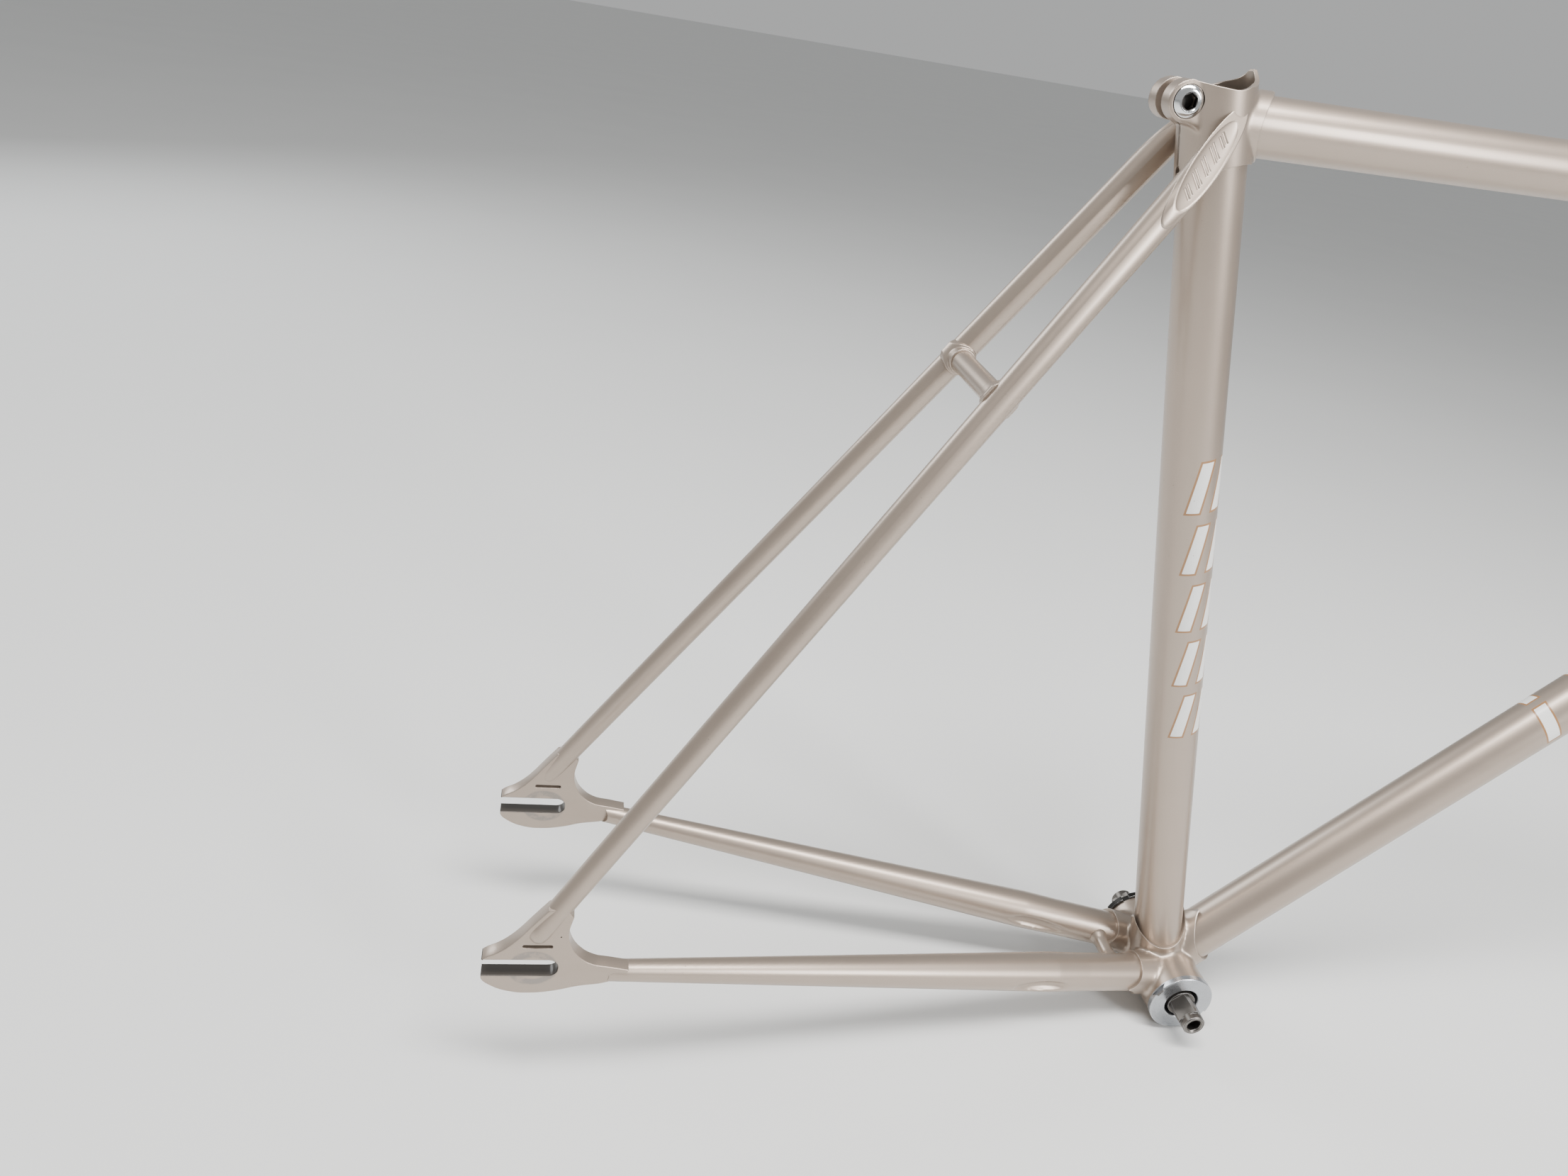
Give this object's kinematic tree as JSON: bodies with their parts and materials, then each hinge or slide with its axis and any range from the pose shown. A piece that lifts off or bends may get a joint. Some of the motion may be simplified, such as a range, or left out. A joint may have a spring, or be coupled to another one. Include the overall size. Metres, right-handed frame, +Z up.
{
  "type": "bicycle frame",
  "caption": "Lugged steel track bicycle frame with its bottom bracket unit fitted, rear-facing dropouts and a pinch-bolt seat lug. The spindle turns on ball bearings.",
  "frame": {"origin": "centre of the bottom bracket: where the spindle's axis crosses the frame's centre plane", "axes": "+X forward to the head tube, +Y to the rider's left (the side without chainwheel), +Z up"},
  "size_m": [0.8537, 0.1376, 0.5445],
  "materials": {
    "paint": "satin metallic champagne",
    "bolt_chrome": "polished",
    "cup_steel": "satin",
    "black_steel": "blackened",
    "spindle_steel": "ground, dark",
    "cage_steel": "pressed",
    "ball_steel": "polished",
    "sleeve_plastic": "matte"
  },
  "bodies": {
    "frame": {"seat_tube": "paint", "down_tube": "paint", "top_tube": "paint", "head_tube": "paint", "seat_lug": "paint", "upper_head_lug": "paint", "lower_head_lug": "paint", "bottom_bracket_shell": "paint", "brake_bridge": "paint", "chainstay_bridge": "paint", "chainstay_right": "paint", "seatstay_right": "paint", "seatstay_cap_right": "paint", "dropout_right": "paint", "bridge_collar_right": "paint", "chainstay_left": "paint", "seatstay_left": "paint", "seatstay_cap_left": "paint", "dropout_left": "paint", "bridge_collar_left": "paint", "binder_bolt": "bolt_chrome", "binder_nut": "bolt_chrome", "fixed_cup": "cup_steel", "adjustable_cup": "cup_steel", "lockring": "black_steel", "dust_sleeve": "sleeve_plastic"},
    "spindle": {"spindle": "spindle_steel"},
    "cage_right": {"ball_cage_right": "cage_steel", "ball_right_1": "ball_steel", "ball_right_2": "ball_steel", "ball_right_3": "ball_steel", "ball_right_4": "ball_steel", "ball_right_5": "ball_steel", "ball_right_6": "ball_steel", "ball_right_7": "ball_steel", "ball_right_8": "ball_steel", "ball_right_9": "ball_steel"},
    "cage_left": {"ball_cage_left": "cage_steel", "ball_left_1": "ball_steel", "ball_left_2": "ball_steel", "ball_left_3": "ball_steel", "ball_left_4": "ball_steel", "ball_left_5": "ball_steel", "ball_left_6": "ball_steel", "ball_left_7": "ball_steel", "ball_left_8": "ball_steel", "ball_left_9": "ball_steel"}
  },
  "joints": [
    {"name": "spindle_turn", "type": "hinge", "parent": "frame", "child": "spindle", "pos_m": [0, 0, 0], "axis": [0, 1, 0], "continuous": true},
    {"name": "cage_right_turn", "type": "hinge", "parent": "frame", "child": "cage_right", "pos_m": [0, 0, 0], "axis": [0, 1, 0], "continuous": true},
    {"name": "cage_left_turn", "type": "hinge", "parent": "frame", "child": "cage_left", "pos_m": [0, 0, 0], "axis": [0, 1, 0], "continuous": true}
  ],
  "couplings": [
    {"joint": "cage_right_turn", "follows": "spindle_turn", "ratio": 0.4},
    {"joint": "cage_left_turn", "follows": "spindle_turn", "ratio": 0.4}
  ]
}
